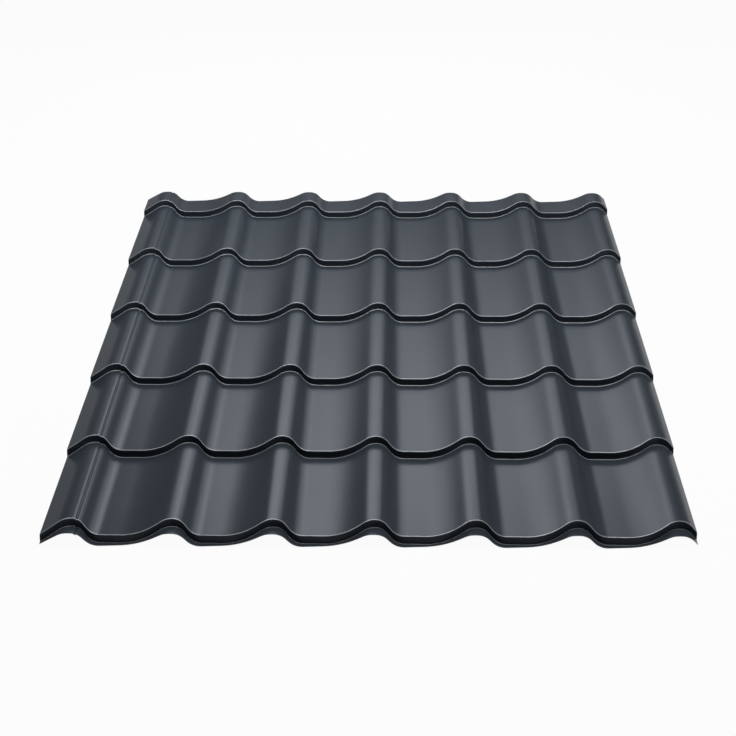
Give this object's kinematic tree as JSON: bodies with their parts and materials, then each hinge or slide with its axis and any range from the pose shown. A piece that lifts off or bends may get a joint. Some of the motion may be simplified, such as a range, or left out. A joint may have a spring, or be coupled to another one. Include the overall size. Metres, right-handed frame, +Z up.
{
  "type": "steel tile roofing sheet",
  "caption": "Wavy steel roofing sheet with stepped rows pressed across it so that it looks like roof tiles; it covers a pitched roof and sheds water.",
  "frame": {"origin": "on the floor under the middle of the sheet's footprint, with the sheet lying level on the feet of its steps", "axes": "+X across the waves, from the grooved under-lap flange to the over-lap flange; +Y up the roof, from the eave lip to the plain ridge strip; +Z up, out of the weather face"},
  "size_m": [1.1848, 1.8632, 0.039],
  "materials": {
    "coated_steel": "satin graphite grey coil coating on thin galvanized steel"
  },
  "bodies": {
    "root": {"tile_sheet": "coated_steel"}
  },
  "joints": []
}
